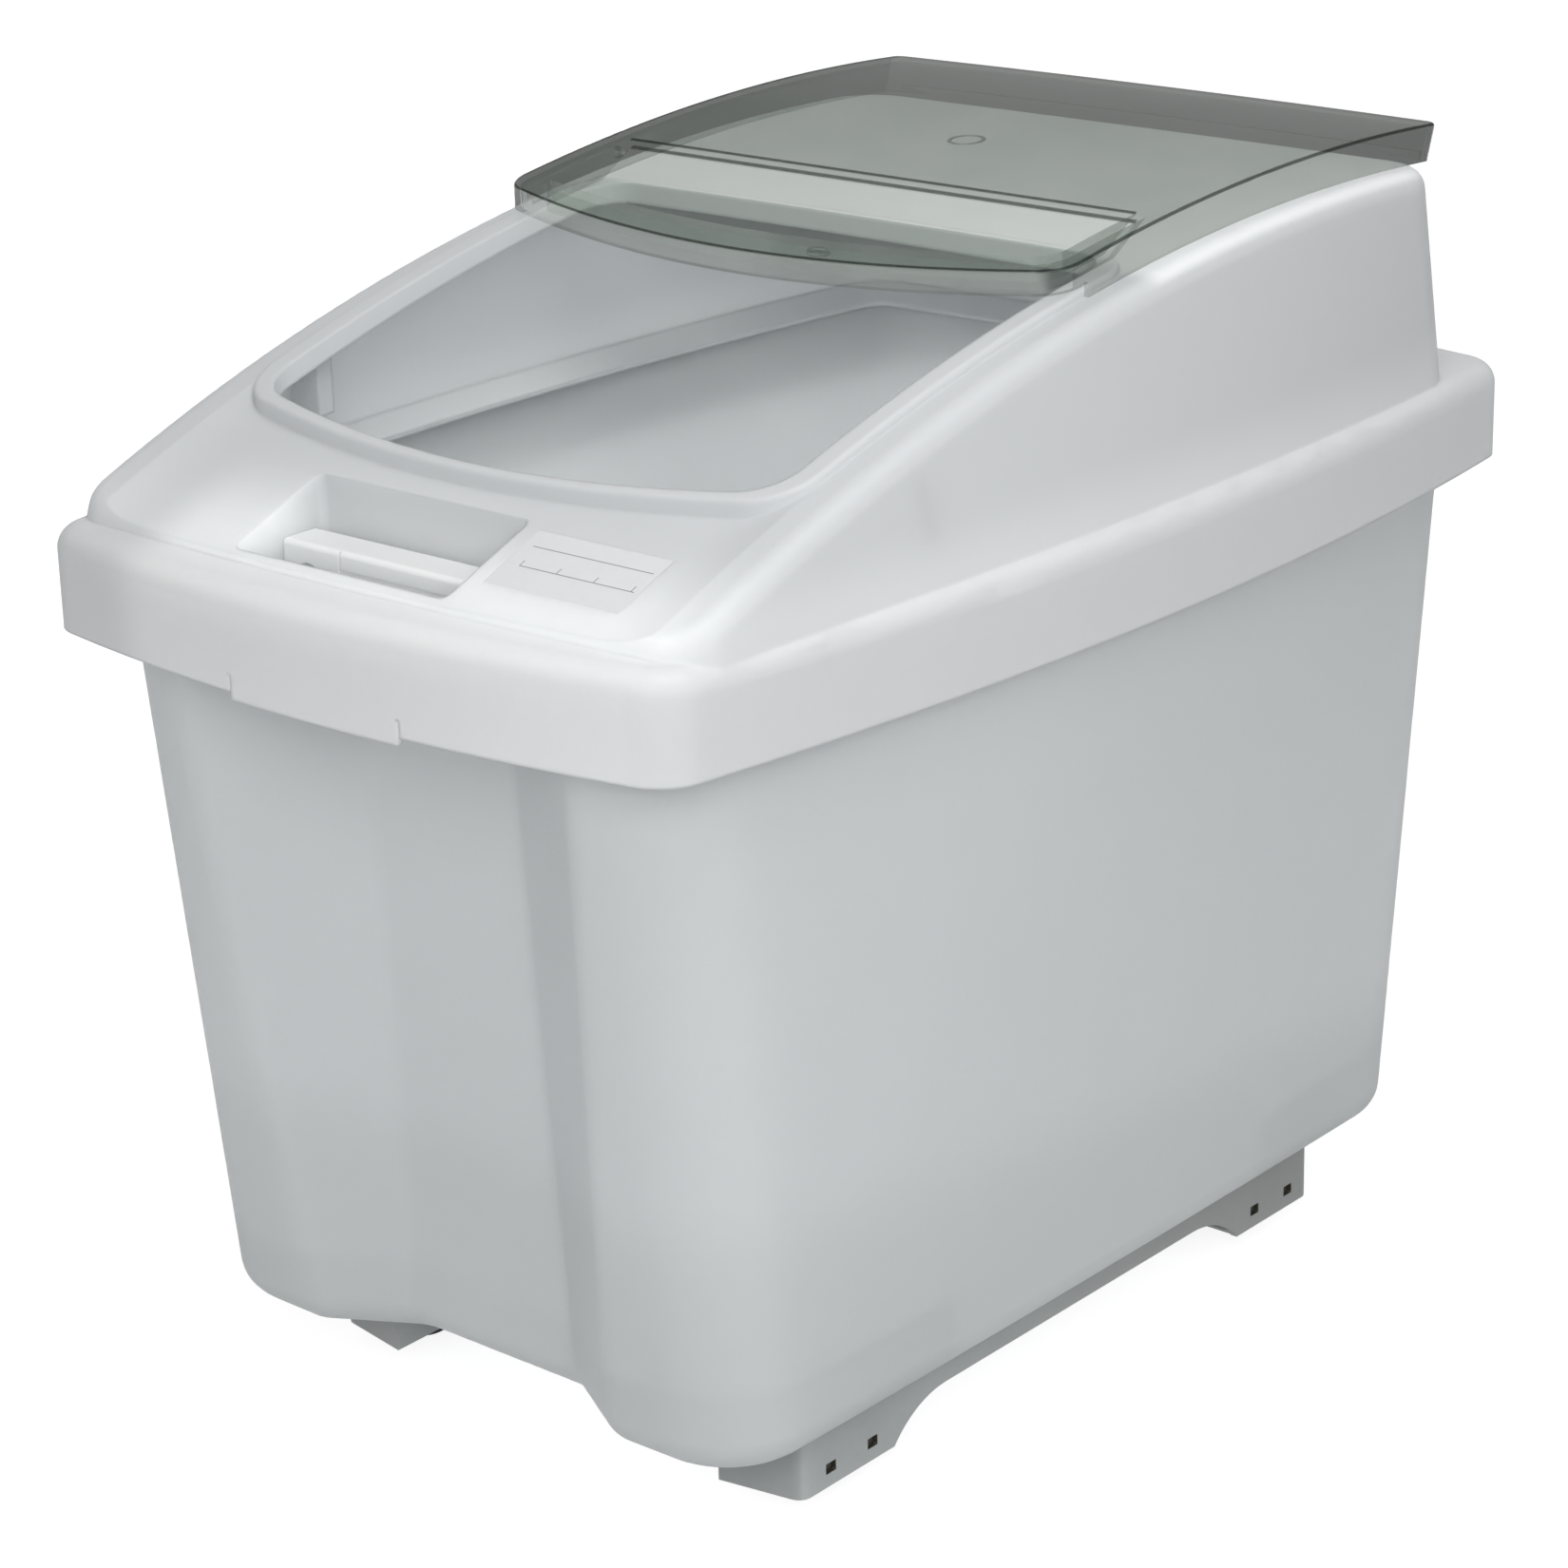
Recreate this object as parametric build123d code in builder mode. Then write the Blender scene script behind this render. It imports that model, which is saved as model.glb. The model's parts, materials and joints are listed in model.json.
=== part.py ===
from build123d import *
import math
import os

os.makedirs("parts", exist_ok=True)

# Rolling ingredient bin. Millimetres, +Z up, floor at z = 0, front towards -Y.

# Moulded walls
tub_wall = 3.5
hood_wall = 3.5
lid_wall = 3.0
rail_wall = 4.0
scoop_wall = 2.5

# Fits
hood_fit = 0.6
lid_side_gap = 0.7
lid_rail_gap = 0.3
lid_over_coaming = 1.0
scoop_play = 4.0
wheel_play = 0.3
axle_fit = 0.05
running_fit = 0.08
seat_fit = 0.05
screw_fit = 0.1

# Wheels, axles and the plates that carry them
wheel_diameter = 70.0
tyre_width = 24.0
tyre_depth = 8.0
tyre_crown = 11.0
rim_width = 20.0
rim_depth = 5.0
hub_diameter = 22.0
web_thickness = 6.0
wheel_inset = 3.5
axle_diameter = 10.0
bearing_plate_thickness = 4.7
bearing_plate_length = 58.0
bearing_plate_height = 32.0
lug_length = 7.0
lug_height = 5.0
lug_spacing = 34.0
lug_below_axle = 10.5
lug_fit = 0.5
lug_recess = 2.5
wheel_clearance = 1.0

# Rails with a wheel housing at each end
rail_inner_x = 118.0
rail_width = 50.0
rail_height = 24.4
housing_ground_gap = 14.0
rail_front_inset = 68.0
rail_back_inset = 64.5
rail_front_skew = 8.6
rail_corner_radius = 8.0
housing_reach = 35.0
arch_radius = 58.4
tyre_side_gap = 3.0

# Screws that hold the rails to the tub
screw_pitch = 110.0
screw_shank_diameter = 5.0
screw_head_diameter = 18.0
screw_head_height = 2.5
boss_diameter = 12.0
screw_skin = 1.3
screw_socket_sides = 6

# Tub
housing_height = 20.0
tub_height = 431.6
tub_foot_half_width = 195.5
tub_foot_front = -302.5
tub_foot_back = 304.0
tub_foot_bow = 1.0
tub_foot_radius = 50.0
tub_rim_half_width = 229.3
tub_rim_side_bow = 35.2
tub_rim_front = -363.7
tub_rim_front_bow = 29.3
tub_rim_back = 370.2
tub_rim_back_bow = 29.9
tub_rim_radius = 65.0
tub_foot_fillet = 19.5
flange_thickness = 6.0
step_height = 45.6
step_front_depth = 164.0
step_back_depth = 155.0
step_hatch_half_width = 108.0
step_hatch_front_gap = 52.0
step_hatch_back_gap = 40.0

# Hand recess in the tub's front
recess_half_width = 50.0
recess_foot_flare = 7.0
recess_foot_depth = 28.5
recess_lean = 20.0
recess_splay = 60.0
recess_back_radius = 18.0
recess_edge_radius = 24.0
recess_head_gap = 2.5

# Hood: skirt over the rim with a rounded top, upper body with leaning sides
skirt_over_side = 11.3
skirt_over_front = 13.3
skirt_over_back = 6.8
skirt_side_bow = 28.6
skirt_end_bow = 20.7
skirt_corner_radius = 26.0
skirt_drop = 40.5
skirt_rise = 14.0
skirt_edge_fillet = 13.0
seat_width = 8.5
shoulder_side = 10.6
shoulder_front = 31.0
shoulder_back = 65.5
dome_foot_side_bow = 19.0
dome_side_lean = 29.0
dome_front_pinch = 18.0
dome_back_spread = 4.0
dome_front_bow = 7.0
dome_front_lean = 25.0
dome_back_bow = 3.0
dome_back_lean = 12.0
dome_front_radius = 26.0
dome_back_radius = 36.0
ridge_fillet = 12.0
lip_width = 18.0
lip_rise = 12.0
lip_thickness = 3.0
lip_gap = 3.0

# Finger tongue at the front of the skirt
tongue_half_width = 58.0
tongue_drop = 4.0
tongue_slit_width = 2.0
tongue_slit_height = 9.0

# Curved slide for the lid
rail_arc_radius = 1430.0
rail_arc_rise = 135.3
arc_centre_y = 215.0
panel_sweep = 30.0
panel_sink = 4.0
panel_dish_run = 30.0
coaming_height = 4.0

# Pouring opening and the raised coaming round it
coaming_side_width = 12.8
coaming_front_width = 5.0
coaming_back_width = 6.0
coaming_edge_fillet = 2.5
opening_front_margin = 85.5
opening_length = 295.5
opening_front_bow = 24.5
opening_corner_radius = 28.0

# Sliding lid
lid_side_margin = 38.5
lid_back_overhang = 10.0
lid_length = 386.0
lid_height = 20.5
lid_front_bow = 33.5
lid_back_bow = 8.0
lid_front_radius = 20.0
lid_back_radius = 8.0
lid_edge_fillet = 2.0
lid_back_slope = 20.0
lid_front_skirt = 13.0
lid_back_skirt = 16.5
trough_side_margin = 17.0
trough_front_flange = 23.5
trough_front_bow = 22.5
trough_foot_length = 66.0
trough_back_run = 22.0
trough_corner_radius = 16.0

# Scoop pocket in the front panel
pocket_wall = 3.0
pocket_left = -88.0
pocket_width = 146.0
pocket_front_margin = 6.0
pocket_depth = 61.0
pocket_below_rim = 35.0
pocket_corner_radius = 5.0

# Scoop
grip_depth = 24.0
grip_height = 22.0
grip_back_gap = 9.0
grip_fillet = 3.0
bowl_height = 31.0
bowl_depth = 42.0
bowl_inset = 6.0
bowl_lip = 7.5
finger_arch_width = 16.0
finger_arch_rise = 4.0
finger_arch_depth = 14.0
finger_arch_inset = 10.6
grip_panel_length = 96.0
grip_panel_margin = 12.5
grip_groove = 1.6

# Write-on label
label_thickness = 0.4
label_left = 68.0
label_width = 86.0
label_depth = 40.0
label_front_margin = 22.0

# Ribs inside the hood's side walls
rib_width = 11.0
rib_depth = 5.0
rib_height = 30.0
rib_front_margin = 172.0
rib_above_seat = 34.0

# Heights that follow
wheel_radius = wheel_diameter / 2
axle_z = wheel_radius
housing_bottom = housing_ground_gap
rail_bottom = housing_bottom + housing_height
tub_bottom = rail_bottom + rail_height
rim_top = tub_bottom + tub_height
skirt_bottom = rim_top - skirt_drop
skirt_top = rim_top + skirt_rise
arc_centre_z = rim_top + rail_arc_rise - rail_arc_radius
panel_radius = rail_arc_radius - panel_sink
coaming_radius = rail_arc_radius + coaming_height
ceiling_radius = panel_radius - hood_wall
lid_top_radius = rail_arc_radius + lid_rail_gap + lid_height
dome_cap = rim_top + rail_arc_rise + lid_height

# Plan of the skirt, upper body, lid and opening that follows from the tub's rim
skirt_half_width = tub_rim_half_width + skirt_over_side
skirt_front = tub_rim_front - skirt_over_front
skirt_back = tub_rim_back + skirt_over_back
dome_foot_half_width = skirt_half_width - shoulder_side
dome_top_half_width = dome_foot_half_width - dome_side_lean
dome_front = skirt_front + shoulder_front
dome_back = skirt_back - shoulder_back
lid_half_width = dome_foot_half_width - lid_side_margin
lid_back = dome_back + lid_back_overhang
lid_front = lid_back - lid_length
coaming_half_width = lid_half_width - lid_wall - lid_side_gap
opening_half_width = coaming_half_width - coaming_side_width
opening_front = dome_front + opening_front_margin
opening_back = opening_front + opening_length
coaming_front = opening_front - coaming_front_width
coaming_back = opening_back + coaming_back_width
pocket_right = pocket_left + pocket_width
pocket_front = dome_front + pocket_front_margin
pocket_back = pocket_front + pocket_depth
pocket_floor = rim_top - pocket_below_rim

# Plan of the rails and wheels
rail_outer_x = rail_inner_x + rail_width
rail_centre_x = rail_inner_x + rail_width / 2
rail_front = tub_foot_front + rail_front_inset
rail_back = tub_foot_back - rail_back_inset
front_axle_y = rail_front + rail_front_skew + rail_wall + wheel_clearance + wheel_radius
back_axle_y = rail_back - rail_wall - wheel_clearance - wheel_radius
wheel_bay_half = wheel_radius + wheel_clearance
wheel_centre_x = rail_centre_x - wheel_inset
axle_places = {"front": front_axle_y, "rear": back_axle_y}
side_signs = {"left": -1, "right": 1}


def bowed_outline(z, half_width, side_bow, front, front_bow, back, back_bow, radius, inset):
    """Rounded plan outline with four bowed sides, drawn in a level plane."""
    corner_x = half_width - side_bow - inset
    front_y = front + front_bow + inset
    back_y = back - back_bow - inset
    middle_y = (front_y + back_y) / 2
    with BuildSketch(Plane.XY.offset(z)) as plan:
        with BuildLine():
            ThreePointArc((-corner_x, front_y), (0, front + inset), (corner_x, front_y))
            ThreePointArc((corner_x, front_y), (half_width - inset, middle_y), (corner_x, back_y))
            ThreePointArc((corner_x, back_y), (0, back - inset), (-corner_x, back_y))
            ThreePointArc((-corner_x, back_y), (inset - half_width, middle_y), (-corner_x, front_y))
        make_face()
        fillet(plan.vertices(), radius - inset)
    return plan.sketch


def straight_outline(z, half_width, front, front_bow, back, back_bow, front_radius, back_radius):
    """Plan outline with straight sides and bowed ends, drawn in a level plane."""
    front_y = front + front_bow
    back_y = back - back_bow
    with BuildSketch(Plane.XY.offset(z)) as plan:
        with BuildLine():
            ThreePointArc((-half_width, front_y), (0, front), (half_width, front_y))
            Line((half_width, front_y), (half_width, back_y))
            ThreePointArc((half_width, back_y), (0, back), (-half_width, back_y))
            Line((-half_width, back_y), (-half_width, front_y))
        make_face()
        fillet(plan.vertices().group_by(Axis.Y)[0], front_radius)
        fillet(plan.vertices().group_by(Axis.Y)[-1], back_radius)
    return plan.sketch


def skirt_outline(z, inset):
    return bowed_outline(
        z,
        skirt_half_width,
        skirt_side_bow,
        skirt_front,
        skirt_end_bow,
        skirt_back,
        skirt_end_bow,
        skirt_corner_radius,
        inset,
    )


def rim_outline(z, inset):
    return bowed_outline(
        z,
        tub_rim_half_width,
        tub_rim_side_bow,
        tub_rim_front,
        tub_rim_front_bow,
        tub_rim_back,
        tub_rim_back_bow,
        tub_rim_radius,
        inset,
    )


def foot_outline(z, inset):
    return bowed_outline(
        z,
        tub_foot_half_width,
        tub_foot_bow,
        tub_foot_front,
        tub_foot_bow,
        tub_foot_back,
        tub_foot_bow,
        tub_foot_radius,
        inset,
    )


def dome_outline(z, inset):
    """Plan of the upper body: bowed sides at the foot, pinched towards the front above."""
    rise = (z - skirt_top) / (dome_cap - skirt_top)
    top_front_x = dome_top_half_width - dome_front_pinch
    top_back_x = dome_top_half_width + dome_back_spread
    foot_corner_x = dome_foot_half_width - dome_foot_side_bow
    front_x = foot_corner_x + (top_front_x - foot_corner_x) * rise - inset
    middle_x = dome_foot_half_width - dome_side_lean * rise - inset
    back_x = foot_corner_x + (top_back_x - foot_corner_x) * rise - inset
    front_mid_y = dome_front + dome_front_lean * rise + inset
    back_mid_y = dome_back - dome_back_lean * rise - inset
    front_y = front_mid_y + dome_front_bow
    back_y = back_mid_y - dome_back_bow
    middle_y = (front_y + back_y) / 2
    with BuildSketch(Plane.XY.offset(z)) as plan:
        with BuildLine():
            ThreePointArc((-front_x, front_y), (0, front_mid_y), (front_x, front_y))
            ThreePointArc((front_x, front_y), (middle_x, middle_y), (back_x, back_y))
            ThreePointArc((back_x, back_y), (0, back_mid_y), (-back_x, back_y))
            ThreePointArc((-back_x, back_y), (-middle_x, middle_y), (-front_x, front_y))
        make_face()
        fillet(plan.vertices().group_by(Axis.Y)[0], dome_front_radius - inset)
        fillet(plan.vertices().group_by(Axis.Y)[-1], dome_back_radius - inset)
    return plan.sketch


def arc_layer(inner_radius, outer_radius, half_span):
    """Curved slab between two radii of the lid's slide, over the top of the bin."""
    with BuildPart() as slab:
        with BuildSketch(Plane.YZ):
            with Locations((arc_centre_y, arc_centre_z)):
                Circle(outer_radius)
                Circle(inner_radius, mode=Mode.SUBTRACT)
            with Locations((arc_centre_y, arc_centre_z + inner_radius / 2)):
                Rectangle(
                    2 * outer_radius,
                    outer_radius,
                    align=(Align.CENTER, Align.MIN),
                    mode=Mode.INTERSECT,
                )
        extrude(amount=half_span, both=True)
    return slab.part


def block(x0, x1, y0, y1, z0, z1):
    """Upright block between the given limits."""
    with BuildPart() as solid:
        with BuildSketch(Plane.XY.offset(z0)):
            with Locations(((x0 + x1) / 2, (y0 + y1) / 2)):
                Rectangle(x1 - x0, y1 - y0)
        extrude(amount=z1 - z0)
    return solid.part


# Tub

recess_head = pocket_floor - pocket_wall - recess_head_gap - tub_wall
step_top = tub_bottom + step_height
step_front_y = tub_foot_front + step_front_depth
step_back_y = tub_foot_back - step_back_depth
tub_floor = tub_bottom + tub_wall


def recess_outline(z, half_width, back_y, outer_y):
    """Splayed plan of the hand recess at one height."""
    mouth = half_width + (back_y - outer_y) * math.tan(math.radians(recess_splay))
    with BuildSketch(Plane.XY.offset(z)) as plan:
        with BuildLine():
            Polyline(
                (-mouth, outer_y),
                (mouth, outer_y),
                (half_width, back_y),
                (-half_width, back_y),
                close=True,
            )
        make_face()
        fillet(plan.vertices().group_by(Axis.Y)[-1], recess_back_radius)
    return plan.sketch


def recess_space(wall):
    """Space of the hand recess, grown by a wall."""
    grow = wall / math.cos(math.radians(recess_splay))
    foot_y = tub_foot_front + recess_foot_depth
    outer_y = tub_rim_front - skirt_over_front
    with BuildPart() as space:
        low = recess_outline(
            tub_bottom,
            recess_half_width + recess_foot_flare,
            foot_y + wall,
            outer_y - grow,
        )
        high = recess_outline(
            recess_head + wall,
            recess_half_width,
            foot_y - recess_lean + wall,
            outer_y - grow,
        )
        loft(sections=[low, high])
    return space.part


with BuildPart() as tub_inside:
    loft(sections=[foot_outline(tub_floor, tub_wall), rim_outline(rim_top, tub_wall)])
    fillet(tub_inside.edges().group_by(Axis.Z)[0], tub_foot_fillet - tub_wall)
    add(recess_space(tub_wall), mode=Mode.SUBTRACT)

with BuildPart() as food_space:
    add(tub_inside.part)
    add(
        block(-rail_arc_radius, rail_arc_radius, skirt_front, step_front_y, 0, step_top),
        mode=Mode.SUBTRACT,
    )
    add(
        block(-rail_arc_radius, rail_arc_radius, step_back_y, skirt_back, 0, step_top),
        mode=Mode.SUBTRACT,
    )

with BuildPart() as step_spaces:
    add(tub_inside.part)
    add(
        block(
            -rail_arc_radius,
            rail_arc_radius,
            step_front_y - tub_wall,
            step_back_y + tub_wall,
            0,
            rim_top,
        ),
        mode=Mode.SUBTRACT,
    )
    add(
        block(
            -rail_arc_radius,
            rail_arc_radius,
            skirt_front,
            skirt_back,
            step_top - tub_wall,
            rim_top,
        ),
        mode=Mode.SUBTRACT,
    )
    add(recess_space(tub_foot_fillet), mode=Mode.SUBTRACT)

screw_places = [
    (sign * rail_centre_x, along * screw_pitch)
    for sign in side_signs.values()
    for along in (-1, 0, 1)
]
wheel_window_half = tyre_width / 2 + tyre_side_gap

with BuildPart() as tub:
    loft(sections=[foot_outline(tub_bottom, 0), rim_outline(rim_top, 0)])
    add(recess_space(0), mode=Mode.SUBTRACT)
    recess_mouth = (
        tub.edges()
        .filter_by(lambda edge: edge.length > recess_head - tub_bottom)
        .filter_by(lambda edge: edge.center().Y < tub_foot_front)
        .filter_by(lambda edge: abs(edge.center().X) > recess_half_width)
        .filter_by(lambda edge: abs(edge.center().X) < tub_foot_half_width - tub_foot_radius)
    )
    fillet(recess_mouth, recess_edge_radius)
    fillet(tub.edges().group_by(Axis.Z)[0], tub_foot_fillet)
    extrude(skirt_outline(rim_top - flange_thickness, hood_wall + hood_fit), amount=flange_thickness)
    add(food_space.part, mode=Mode.SUBTRACT)
    add(step_spaces.part, mode=Mode.SUBTRACT)
    with BuildSketch(Plane.XY.offset(tub_bottom)):
        for axle_y in axle_places.values():
            with Locations((-wheel_centre_x, axle_y), (wheel_centre_x, axle_y)):
                Rectangle(2 * wheel_window_half, 2 * wheel_bay_half)
        hatch_front = tub_foot_front + step_hatch_front_gap
        with Locations((0, (hatch_front + step_front_y - tub_wall) / 2)):
            Rectangle(2 * step_hatch_half_width, step_front_y - tub_wall - hatch_front)
        hatch_back = tub_foot_back - step_hatch_back_gap
        with Locations((0, (hatch_back + step_back_y + tub_wall) / 2)):
            Rectangle(2 * step_hatch_half_width, hatch_back - step_back_y - tub_wall)
    extrude(amount=tub_wall, mode=Mode.SUBTRACT)
    with BuildSketch(Plane.XY.offset(tub_bottom - rail_wall)):
        with Locations(*screw_places):
            Circle(boss_diameter / 2)
    extrude(amount=rail_wall)
    with BuildSketch(Plane.XY.offset(tub_bottom - rail_wall)):
        with Locations(*screw_places):
            Circle(screw_shank_diameter / 2 + screw_fit)
    extrude(amount=rail_wall + tub_wall - screw_skin, mode=Mode.SUBTRACT)
tub.part.label = "tub"
export_step(tub.part, "parts/tub.step")

# Hood

pocket_outer = block(
    pocket_left - pocket_wall,
    pocket_right + pocket_wall,
    pocket_front - pocket_wall,
    pocket_back + pocket_wall,
    pocket_floor - pocket_wall,
    dome_cap,
)
with BuildPart() as pocket_box:
    add(pocket_outer)
    add(
        arc_layer(panel_radius - label_thickness, 2 * rail_arc_radius, rail_arc_radius),
        mode=Mode.SUBTRACT,
    )

with BuildPart() as pocket_space:
    add(block(pocket_left, pocket_right, pocket_front, pocket_back, pocket_floor, dome_cap))
    fillet(pocket_space.edges().filter_by(Axis.Z), pocket_corner_radius)

with BuildPart() as coaming:
    extrude(
        straight_outline(
            skirt_top,
            coaming_half_width,
            coaming_front,
            opening_front_bow,
            coaming_back,
            dome_back_bow,
            opening_corner_radius + coaming_front_width,
            opening_corner_radius,
        ),
        amount=dome_cap - skirt_top,
    )
    add(arc_layer(coaming_radius, 2 * rail_arc_radius, rail_arc_radius), mode=Mode.SUBTRACT)
    add(arc_layer(rail_arc_radius / 2, ceiling_radius, rail_arc_radius), mode=Mode.SUBTRACT)
    coaming_top = coaming.faces().filter_by(GeomType.CYLINDER).sort_by(Axis.Z)[-1]
    fillet(coaming_top.edges(), coaming_edge_fillet)

opening_space = straight_outline(
    skirt_top,
    opening_half_width,
    opening_front,
    opening_front_bow,
    opening_back,
    dome_back_bow,
    opening_corner_radius,
    opening_corner_radius - coaming_front_width,
)

with BuildPart() as hood_inside:
    extrude(skirt_outline(skirt_bottom, hood_wall), amount=rim_top - skirt_bottom)
    extrude(
        skirt_outline(rim_top, hood_wall + seat_width),
        amount=skirt_top - hood_wall - rim_top,
    )
    loft(sections=[dome_outline(rim_top, hood_wall), dome_outline(dome_cap, hood_wall)])
    add(arc_layer(ceiling_radius, 2 * rail_arc_radius, rail_arc_radius), mode=Mode.SUBTRACT)


def panel_space():
    """Space over the front panel, which is dished softly between the two ridges."""
    flat_half = coaming_half_width - panel_dish_run
    panel_z = arc_centre_z + panel_radius
    ridge_z = arc_centre_z + rail_arc_radius
    top_z = ridge_z + lid_height
    panel_end = coaming_front + opening_front_bow + opening_corner_radius + coaming_front_width
    with BuildPart() as space:
        with BuildSketch(Plane.XZ.offset(-arc_centre_y)):
            with BuildLine():
                Line((-flat_half, panel_z), (flat_half, panel_z))
                TangentArc((flat_half, panel_z), (coaming_half_width, ridge_z), tangent=(1, 0))
                Polyline(
                    (coaming_half_width, ridge_z),
                    (coaming_half_width, top_z),
                    (-coaming_half_width, top_z),
                    (-coaming_half_width, ridge_z),
                )
                TangentArc((-flat_half, panel_z), (-coaming_half_width, ridge_z), tangent=(-1, 0))
            make_face()
        revolve(axis=Axis((0, arc_centre_y, arc_centre_z), (1, 0, 0)), revolution_arc=panel_sweep)
    front = block(
        -skirt_half_width, skirt_half_width, skirt_front, panel_end, skirt_bottom, dome_cap
    )
    return space.part & front


with BuildPart() as dome:
    loft(sections=[dome_outline(rim_top, 0), dome_outline(dome_cap, 0)])
    add(arc_layer(rail_arc_radius, 2 * rail_arc_radius, rail_arc_radius), mode=Mode.SUBTRACT)
    dome_top = dome.faces().filter_by(GeomType.CYLINDER).sort_by(SortBy.AREA)[-1]
    fillet(dome_top.edges(), ridge_fillet)
    add(panel_space(), mode=Mode.SUBTRACT)

with BuildPart() as tongue:
    with BuildSketch(Plane.XY.offset(skirt_bottom - tongue_drop)):
        add(skirt_outline(skirt_bottom - tongue_drop, 0))
        add(skirt_outline(skirt_bottom - tongue_drop, hood_wall), mode=Mode.SUBTRACT)
        with Locations((0, skirt_front)):
            Rectangle(2 * tongue_half_width, 2 * (skirt_end_bow + hood_wall), mode=Mode.INTERSECT)
    extrude(amount=tongue_drop)


def lip_funnel(foot_z):
    """Funnel shape of one side of the hood's inner lip."""
    with BuildPart() as funnel:
        loft(
            sections=[
                dome_outline(foot_z, hood_wall + lip_width),
                dome_outline(foot_z + lip_rise, hood_wall / 2),
            ]
        )
    return funnel.part


def inner_lip():
    """Sloped lip inside the hood that leads the ingredient back into the tub."""
    lip_foot = rim_top + lip_gap
    with BuildPart() as lip:
        add(lip_funnel(lip_foot))
        add(lip_funnel(lip_foot + lip_thickness), mode=Mode.SUBTRACT)
        with BuildSketch(Plane.XY.offset(lip_foot)):
            add(dome_outline(lip_foot, hood_wall + lip_width))
        extrude(amount=lip_thickness, mode=Mode.SUBTRACT)
    return lip.part


def hood_rib(sign):
    """Short upright rib on the inner face of one side wall."""
    inner_x = coaming_half_width + rib_depth
    centre_y = dome_front + rib_front_margin
    foot_z = rim_top + rib_above_seat
    rib = block(
        min(sign * inner_x, sign * dome_foot_half_width),
        max(sign * inner_x, sign * dome_foot_half_width),
        centre_y - rib_width / 2,
        centre_y + rib_width / 2,
        foot_z,
        foot_z + rib_height,
    )
    return rib & dome.part


def label_layer(depth, margin):
    """Thin curved sheet let into the front panel's surface."""
    front_y = dome_front + label_front_margin
    with BuildPart() as sheet:
        add(
            block(
                label_left - margin,
                label_left + label_width + margin,
                front_y - margin,
                front_y + label_depth + margin,
                rim_top,
                dome_cap,
            )
        )
        add(
            arc_layer(panel_radius - depth, panel_radius, skirt_half_width),
            mode=Mode.INTERSECT,
        )
    return sheet.part


with BuildPart() as hood:
    extrude(skirt_outline(skirt_bottom, 0), amount=skirt_top - skirt_bottom)
    fillet(hood.edges().group_by(Axis.Z)[-1], skirt_edge_fillet)
    add(dome.part)
    add(coaming.part)
    add(hood_inside.part, mode=Mode.SUBTRACT)
    add(inner_lip())
    add(pocket_box.part)
    add(pocket_space.part, mode=Mode.SUBTRACT)
    extrude(opening_space, amount=dome_cap - skirt_top, mode=Mode.SUBTRACT)
    for sign in side_signs.values():
        add(hood_rib(sign))
    add(label_layer(label_thickness + seat_fit, seat_fit), mode=Mode.SUBTRACT)
    add(tongue.part)
    with BuildSketch(Plane.XY.offset(skirt_bottom - tongue_drop)):
        with Locations((-tongue_half_width, skirt_front), (tongue_half_width, skirt_front)):
            Rectangle(tongue_slit_width, 2 * (skirt_end_bow + hood_wall))
    extrude(amount=tongue_drop + tongue_slit_height, mode=Mode.SUBTRACT)
hood.part.label = "hood"
export_step(hood.part, "parts/hood.step")

# Write-on label

with BuildPart() as write_on_label:
    add(label_layer(label_thickness, 0))
write_on_label.part.label = "write_on_label"
export_step(write_on_label.part, "parts/write_on_label.step")

# Sliding lid

lid_skirt_radius = rail_arc_radius + lid_rail_gap
lid_plan_top = rim_top + rail_arc_rise + 2 * lid_height
trough_bottom_radius = coaming_radius + lid_over_coaming
trough_floor_radius = trough_bottom_radius + lid_wall
trough_half_width = lid_half_width - trough_side_margin
trough_front = lid_front + trough_front_flange
trough_back = trough_front + trough_foot_length


def lid_outline(z, inset):
    """Plan of the lid at one height, its back leaning outwards above."""
    top_z = arc_centre_z + math.sqrt(lid_top_radius**2 - (lid_back - arc_centre_y) ** 2)
    lean = (z - top_z) * math.tan(math.radians(lid_back_slope))
    return straight_outline(
        z,
        lid_half_width - inset,
        lid_front + inset,
        lid_front_bow,
        lid_back + lean - inset,
        lid_back_bow,
        lid_front_radius - inset,
        lid_back_radius - inset,
    )


def lid_body(inset, inner_radius, outer_radius):
    """Curved slab with the lid's plan, shrunk by an inset."""
    with BuildPart() as body:
        loft(sections=[lid_outline(rim_top, inset), lid_outline(lid_plan_top, inset)])
        add(arc_layer(inner_radius, outer_radius, skirt_half_width), mode=Mode.INTERSECT)
    return body.part


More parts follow.
